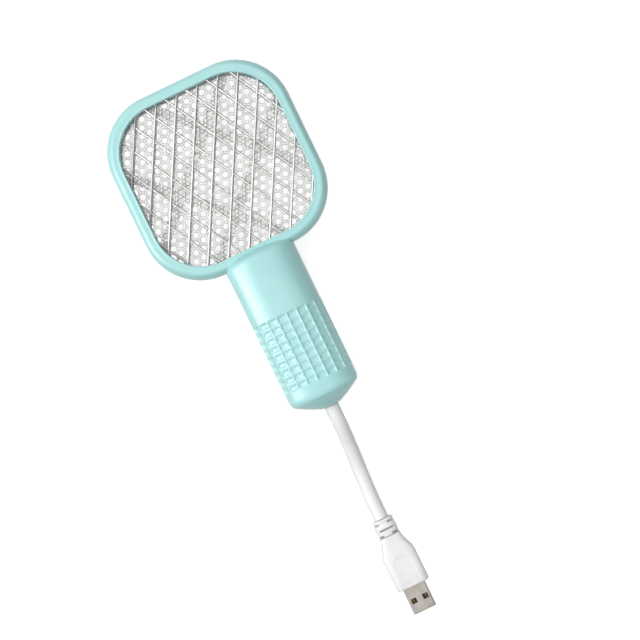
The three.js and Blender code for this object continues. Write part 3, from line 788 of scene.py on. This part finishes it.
def guard_grid(name, side, replaced):
    """Two crossed wire families, one just over the other, in a flat frame with a tab."""
    z = MID_Z + side * WIRE["from_middle"]
    low, high = z - FRAME_HALF, z + FRAME_HALF
    families = [wire_family(s * WIRE["angle"], offset, z + s * WIRE["weave"])
                for s, offset in zip((1, -1), WIRE["offsets"])]
    grid = boolean(families[0], ("UNION", families[1]),
                   ("INTERSECT", head_slab(FRAME_IN + 0.5, z - 2, z + 2)),
                   ("UNION", head_ring(FRAME_IN, FRAME_OUT, low, high)))
    boolean(grid, ("UNION", solder_tab(1, low, high)), ("DIFFERENCE", screw_notches(z - 2, z + 2)))
    grid.name = name
    place(grid, "wire", "mesh_alloy", replaced, smooth=50)


def punch(x, y, radius, sides, chamfer):
    """Tool for a punched hole with softened edges, through the live sheet."""
    half, past = LIVE["half"], 0.1
    steps = ((chamfer + past, -half - past), (0, chamfer - half), (0, half - chamfer),
             (chamfer + past, half + past))
    return loft("punch", [round_loop(x, y, MID_Z + z, radius + out, sides) for out, z in steps])


def hole_spots():
    """Middles of the holes, and of the webs between three holes."""
    pitch, tilt = LIVE["pitch"], math.radians(LIVE["tilt"])
    row = pitch * math.sqrt(3) / 2
    count = range(-13, 14)
    holes, webs = [], []
    for j in count:
        for i in count:
            x = (i + (0.5 if j % 2 else 0)) * pitch
            holes.append((x, j * row))
            webs.append((x, (j + 2 / 3) * row))
            webs.append((x + pitch / 2, (j + 1 / 3) * row))
    turn = Matrix.Rotation(tilt, 2)
    spots = []
    for group in (holes, webs):
        turned_spots = [turn @ Vector(spot) for spot in group]
        spots.append([(p.x, p.y) for p in turned_spots
                      if inside_head(p.x, p.y, LIVE["past_edge"])])
    return spots


def inside_head(x, y, out):
    """Whether a point, measured from the head's middle, is inside the opening grown by out."""
    half = OPENING_HALF + out
    corner = OPENING_CORNER + out
    dx, dy = max(abs(x) - half + corner, 0), max(abs(y) - half + corner, 0)
    return max(abs(x), abs(y)) < half and math.hypot(dx, dy) < corner


def live_grid():
    """Punched sheet with a small dot hole between each three holes."""
    low, high = MID_Z - LIVE["half"], MID_Z + LIVE["half"]
    sheet = head_slab(FRAME_OUT, low, high, 20)
    holes, webs = hole_spots()
    punches = [punch(x, HEAD_Y + y, LIVE["hole"], 18, 0.2) for x, y in holes]
    dots = [punch(x, HEAD_Y + y, LIVE["dot"], 10, 0.17) for x, y in webs]
    boolean(sheet, ("UNION", solder_tab(-1, low, high)),
            ("DIFFERENCE", many("punches", punches)), ("DIFFERENCE", many("dots", dots)),
            ("DIFFERENCE", screw_notches(MID_Z - 2, MID_Z + 2)))
    sheet.name = "punched_sheet"
    place(sheet, "alloy", "mesh_alloy", "live_grid", smooth=25)


# ---- screws ----------------------------------------------------------------------------------
def screw(name, x, y, kind, replaced):
    """Pan-head screw driven from the back, with a cross recess and a ridged shank."""
    seat, tip, head, shank = (kind[key] for key in ("seat", "tip", "head", "shank"))
    crown = seat - 1.3
    profile = [(head * 0.55, crown), (head * 0.8, crown + 0.1), (head * 0.95, crown + 0.35),
               (head, crown + 0.7), (head, seat), (shank, seat), (shank, seat + 0.6)]
    z = seat + 0.8
    while z < tip - 1.4:
        profile += [(shank, z), (shank * 1.22, z + 0.2), (shank, z + 0.4)]
        z += 0.6
    profile += [(shank, tip - 1), (0.12, tip)]
    made = turned(name, profile, (x, y, 0), "Z", 24)
    arm, slot_half = head * 0.62, 0.25
    low, high = crown - 0.5, crown + 0.6
    cross = boolean(block(x - arm, x + arm, y - slot_half, y + slot_half, low, high),
                    ("UNION", block(x - slot_half, x + slot_half, y - arm, y + arm, low, high)))
    boolean(made, ("DIFFERENCE", cross))
    place(made, "screw", "screw_steel", replaced)


def screws():
    for i, (x, y) in enumerate(HEAD_SCREWS, 1):
        screw(f"screw_head_{i}", x, y, SMALL, f"head_screw_{i}")
    for i, (x, y) in enumerate(HANDLE_SCREWS, 1):
        screw(f"screw_handle_{i}", x, y, LARGE, f"handle_screw_{i}")


# ---- button, lamp and spring -----------------------------------------------------------------
def button():
    """Dished cap with a raised edge and seven ridges, and a flange that keeps it in."""
    steps = [(-1.0, 0.95), (-0.55, 0.62), (-0.2, 0.5), (-0.05, 0.72), (0, 1.0), (0, 2.3)]
    loops = [rounded_loop(0, BUTTON_Y, BUTTON_HALF_X + out, BUTTON_HALF_Y + out,
                          BUTTON_CORNER + out, z, 12) for out, z in steps]
    loops += [rounded_loop(0, BUTTON_Y, 5.5, 9, 5, z, 12) for z in (2.3, 2.9)]
    cap = loft("thumb_button", loops)
    ridge_pitch, ridge_half, ridge_z = 1.5, 0.3, 0.95
    ridges = []
    for i in range(-3, 4):
        reach = 2.6 if abs(i) < 3 else 1.9
        y = BUTTON_Y + ridge_pitch * i
        ends = [(-reach, y, ridge_z), (reach, y, ridge_z)]
        ridges.append(tube("ridge", ends, ridge_half, 12))
    boolean(cap, ("UNION", many("ridges", ridges)))
    place(cap, "white", "button_white", "push_button", body=MOVING)


def spring():
    """Coil spring round the switch's plunger."""
    turns, per_turn = 3, 24
    radius, wire = 2.9, 0.22
    low, high = 3.25, 5.25
    points = []
    for i in range(turns * per_turn + 1):
        a = 2 * math.pi * i / per_turn
        points.append((radius * math.cos(a), BUTTON_Y + radius * math.sin(a),
                       low + (high - low) * i / (turns * per_turn)))
    coil = tube("return_spring", points, wire, 8)
    place(coil, "screw", "screw_steel", "button_spring", smooth=60)
    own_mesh(coil)


def lamp():
    """Domed lamp, and the clear window over it."""
    bulb = [(0.25, 4.42), (0.7, 4.55), (1.1, 4.85), (1.35, 5.25), (1.5, 5.8), (1.5, 8.2),
            (1.9, 8.25), (1.9, 9.3)]
    place(turned("red_lamp", bulb, (0, LED_Y, 0)), "red_clear", "clear_red", "indicator_led")
    lens = [(0.5, 0.42), (1.2, 0.5), (1.5, 0.68), (1.6, 0.9), (1.6, 2.3), (2.5, 2.3), (2.5, 3.0)]
    place(turned("lamp_lens", lens, (0, LED_Y, 0)), "clear", "clear_window", "led_window")


# ---- board, battery and inner leads ----------------------------------------------------------
def body_band(name, x, y, z, radius, length, look, slot, replaced):
    """Small axial component with domed ends and wire stubs, along X."""
    half = length / 2
    profile = [(0.25, -half), (0.25, -half + 0.5), (radius * 0.8, -half + 0.55),
               (radius, -half + 1.0), (radius, half - 1.0), (radius * 0.8, half - 0.55),
               (0.25, half - 0.5), (0.25, half)]
    place(turned(name, profile, (x, y, z), "X", 20), look, slot, replaced)


def components():
    x, z = -6, 7.9
    for i in range(3):
        body_band(f"diode_{i + 1}", x, -40 - 4.5 * i, z, 1.3, 5.2, "black", "black_plastic",
                  f"rectifier_diode_{i + 1}")
    body_band("resistor", x, -54, z, 1.2, 6.5, "grey", "spacer_grey", "bleed_resistor")
    cell = [(3.0, -76.4), (6.2, -76.4), (6.8, -76.1), (7.0, -75.6), (7.0, -36.0), (6.8, -35.4),
            (6.3, -35.2), (5.6, -35.3), (5.3, -34.6), (2.9, -34.6), (2.8, -33.7), (2.2, -33.6)]
    place(turned("round_cell", cell, (0, 0, 18.7), "Y", 56), "cell", "cell_wrap", "battery_cell")


# CAD node: (radius, finish, slot, route) of each thin inner lead
LEADS = {
    "battery_lead_red": (0.65, "red_wire", "wire_red", [
        (0, -32.2, 19.5), (0.3, -31.7, 16.5), (1.8, -31.6, 13.5), (2.6, -31.6, 11.9)]),
    "battery_lead_black": (0.65, "black", "black_plastic", [
        (4.6, -77.9, 17.5), (5, -78.4, 13.5), (5.4, -77, 9.4), (5.6, -73.5, 7.6),
        (5.6, -69.5, 7.9)]),
    "live_lead": (0.8, "red_wire", "wire_red", [
        (-5, -16.4, 12.2), (-5, -14.2, 14), (-5, -11.8, 15.7), (-5, -8.2, 15.7)]),
    "guard_lead": (0.8, "black", "black_plastic", [
        (5, -16.4, 12.2), (5, -14, 15), (5, -11.6, 18.8), (5, -8.2, 19.3)]),
    "supply_wire_red": (0.65, "red_wire", "wire_red", [
        (-1.4, -79.4, 13.4), (-1.4, -78.7, 10.4), (-1.7, -76, 7.9), (-2, -69.5, 7.9)]),
    "supply_wire_black": (0.65, "black", "black_plastic", [
        (1.4, -79.4, 13.4), (1.4, -78.7, 10.4), (1.7, -76, 7.9), (2, -69.5, 7.9)]),
}


def inner_leads():
    for replaced, (radius, look, slot, route) in LEADS.items():
        made = tube("fine_" + replaced, spline_points(route, 8), radius, 12)
        place(made, look, slot, replaced, smooth=60)


def dress_cad_nodes():
    """CAD nodes whose shape is right, with the rounding of their edges in millimetres."""
    for look, edge, names in (
            ("grey", 0.2, "front_spacer rib_spacer"),
            ("screw", 0.1, "guard_link"),
            ("black", 0.25, "switch_body switch_plunger drive_transistor charge_chip"),
            ("board", 0.15, "circuit_board"),
            ("ferrite", 0.3, "transformer_core"),
            ("winding", 0.6, "transformer_winding"),
            ("red_epoxy", 1.2, "storage_capacitor"),
            ("foam", 0.1, "battery_pad"),
            ("screw", 0.05, "battery_tab_positive battery_tab_negative"),
            # The tongue gets the black moulding so that the shell's windows look dark: painted shade
            # of the cavity behind them.
            ("black", 0.15, "usb_tongue"),
            # The contacts take that darkened gold, which is painted shade of the cavity.
            ("gold_darkened_for_shade", 0.04, "usb_contact_1 usb_contact_2 usb_contact_3 usb_contact_4")):
        for name in names.split():
            dress(name, look, edge)


# ---- lead and plug ---------------------------------------------------------------------------
def lead():
    """The free lead as one curve, and its length in metres."""
    data = bpy.data.curves.new("white_lead", "CURVE")
    data.dimensions = "3D"
    data.bevel_depth = CORD_DIAMETER / 2 * MM
    data.bevel_resolution = 8
    data.use_fill_caps = True
    points = spline_points(CORD_ROUTE, 5)
    line = data.splines.new("POLY")
    line.points.add(len(points) - 1)
    for spot, point in zip(line.points, points):
        spot.co = (*(Vector(point) * MM), 1)
    line.use_smooth = True
    obj = link("white_lead", data)
    data.materials.append(LOOKS["lead"])
    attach(obj, FIXED)
    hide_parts("usb_cord")
    length = sum((b - a).length for a, b in zip(points, points[1:])) * MM
    return obj, length


def gland():
    """Sleeve that the lead leaves through, with a flange held between the shells."""
    profile = [(3.6, 0.3), (3.9, 0.05), (4.1, 0.3), (4.1, 2.8), (6, 2.8), (6, 5), (4.1, 5),
               (4.1, 8.3), (3.9, 8.5)]
    made = turned("lead_gland", profile, (0, HANDLE_END, MID_Z), "Y", 40)
    place(made, "lead", "lead_white", "cord_gland")


def oval_loop(x, y, z, half_x, half_z, power, sides=48):
    """Superellipse loop across the plug."""
    loop = []
    for i in range(sides):
        a = 2 * math.pi * (i + 0.5) / sides
        c, s = math.cos(a), math.sin(a)
        loop.append((x + math.copysign(abs(c) ** (2 / power), c) * half_x, y,
                     z + math.copysign(abs(s) ** (2 / power), s) * half_z))
    return loop


def relief():
    """Strain relief: an oval collar with staggered slots that let it bend.

    Each row has the distance along it and the half width.
    """
    rows = [(0.0, 4.2), (0.12, 4.9), (0.4, 5.35), (0.9, 5.5), (1.3, 5.4), (1.5, 5.15),
            (2.0, 5.1), (2.6, 5.25), (3.4, 5.4), (5.2, 5.5), (7.0, 5.45), (7.7, 5.3),
            (8.4, 5.3), (8.7, 5.3)]
    loops = [oval_loop(PLUG_X, RELIEF_Y - along, PLUG_Z, half, half * 0.79, 2.5)
             for along, half in rows]
    made = loft("slotted_relief", loops)
    broken, whole = ((-4.6, -2.5), (1.8, 4.6)), ((-3.6, 4.0),)
    slot_half = 0.52
    slots = []
    for along, spans in ((2.05, broken), (5.2, whole), (8.1, broken)):
        y = RELIEF_Y - along
        for start, end in spans:
            for side in (-1, 1):
                low, high = sorted((PLUG_Z + side * 1.4, PLUG_Z + side * 6))
                slots.append(block(PLUG_X + start, PLUG_X + end, y - slot_half, y + slot_half,
                                   low, high))
    boolean(made, ("DIFFERENCE", many("slots", slots)))
    return place(made, "lead", "lead_white", "plug_relief", smooth=40)


def panel(side):
    """Tool for the shallow thumb panel in the plug's face.

    It has an arched end towards the lead and a sloping edge, and gets deeper towards the shell.
    """
    face = PLUG_Z + side * PLUG_THICK / 2
    shoulder, length = BODY_Y - 16.3, 13.5
    loops = []
    for out, depth in ((-0.7, 0.4), (-0.1, 0.35), (0.4, 0.17), (0.8, 0.02), (1.2, -0.3)):
        half, arch, end = 4.7 + out, 4.5 + out, SHELL_Y + 1.3 - out
        loop = []
        for k in range(25):
            a = math.pi * k / 24
            loop.append((PLUG_X + half * math.cos(a), shoulder + arch * math.sin(a)))
        loop += [(PLUG_X - half, end), (PLUG_X + half, end)]
        top = shoulder + arch
        loops.append([(x, y, face - side * depth * (0.45 + 0.55 * (top - y) / length))
                      for x, y in loop])
    return loft("panel", loops)


def plug_body():
    """Moulded body that widens from the relief to the shell, with a thumb panel on each face.

    Each row has the distance along it, the half width and the half height.
    """
    rows = [(0.0, 5.1, 3.9), (0.25, 5.4, 4.15), (1.2, 5.6, 4.25)]
    for k in range(1, 13):
        t = k / 12
        grown = smoothstep(t, 0, 1)
        rows.append((1.2 + 10.3 * t, 5.6 + 3.0 * grown ** 0.95, 4.25 + 0.25 * grown))
    rows += [(18.0, 8.6, 4.5), (BODY_LENGTH - 0.9, 8.6, 4.5), (BODY_LENGTH - 0.4, 8.5, 4.42),
             (BODY_LENGTH - 0.1, 8.25, 4.2), (BODY_LENGTH, 7.9, 3.9)]
    loops = [oval_loop(PLUG_X, BODY_Y - along, PLUG_Z, half, rise, 4.2, 72)
             for along, half, rise in rows]
    made = loft("moulded_plug", loops)
    pocket = block(PLUG_X - 6.25, PLUG_X + 6.25, SHELL_Y - 1, SHELL_Y + 4, PLUG_Z - 2.5,
                   PLUG_Z + 2.5)
    boolean(made, ("DIFFERENCE", panel(1)), ("DIFFERENCE", panel(-1)), ("DIFFERENCE", pocket))
    return place(made, "lead", "lead_white", "plug_body", smooth=28)


def plug_shell():
    """Drawn steel shell with rounded corners, a rolled lip and two square windows a side."""
    tip, root = SHELL_Y - SHELL_OUT, SHELL_Y + SHELL_IN
    outer, inner = [], []
    for y, less in ((tip, 0.16), (tip + 0.12, 0.04), (tip + 0.3, 0.0), (root, 0.0)):
        outer.append(corner_loop(y, 6 - less, 2.25 - less, 0.65))
    for y, more in ((tip - 1, 0.1), (tip + 0.25, 0.1), (tip + 0.4, 0.0), (root + 1, 0.0)):
        inner.append(corner_loop(y, 5.65 + more, 1.9 + more, 0.35))
    made = loft("drawn_shell", outer)
    low, high = PLUG_Z - 4, PLUG_Z + 4
    windows = [block(PLUG_X + x - 1.4, PLUG_X + x + 1.4, tip + 5.1, tip + 7.8, low, high)
               for x in (-3.1, 3.1)]
    seam = block(PLUG_X - 0.04, PLUG_X + 0.04, tip - 1, root + 1, low, PLUG_Z - 2.1)
    boolean(made, ("DIFFERENCE", loft("bore", inner)), ("DIFFERENCE", many("windows", windows)),
            ("DIFFERENCE", seam))
    return place(made, "plug_shell", "plug_shell", "usb_shell", smooth=40)


def corner_loop(y, half_x, half_z, radius):
    """Loop of a rectangle with round corners, across the plug."""
    flat = rounded_loop(PLUG_X, PLUG_Z, half_x, half_z, radius, 0, 6)
    return [(x, y, z) for x, z, _ in flat]


# ---- assembly --------------------------------------------------------------------------------
bpy.context.scene.view_settings.view_transform = "Standard"
LOOKS = make_materials()
camera()
white_lead, lead_length = lead()
on_lead = [relief(), plug_body(), plug_shell(), "usb_tongue"]
on_lead += [f"usb_contact_{i + 1}" for i in range(4)]
studio()
floor()
front_shell()
rear_shell()
guard_grid("guard_front", 1, "front_guard_grid")
guard_grid("guard_rear", -1, "rear_guard_grid")
live_grid()
screws()
button()
spring()
lamp()
components()
inner_leads()
gland()
dress_cad_nodes()
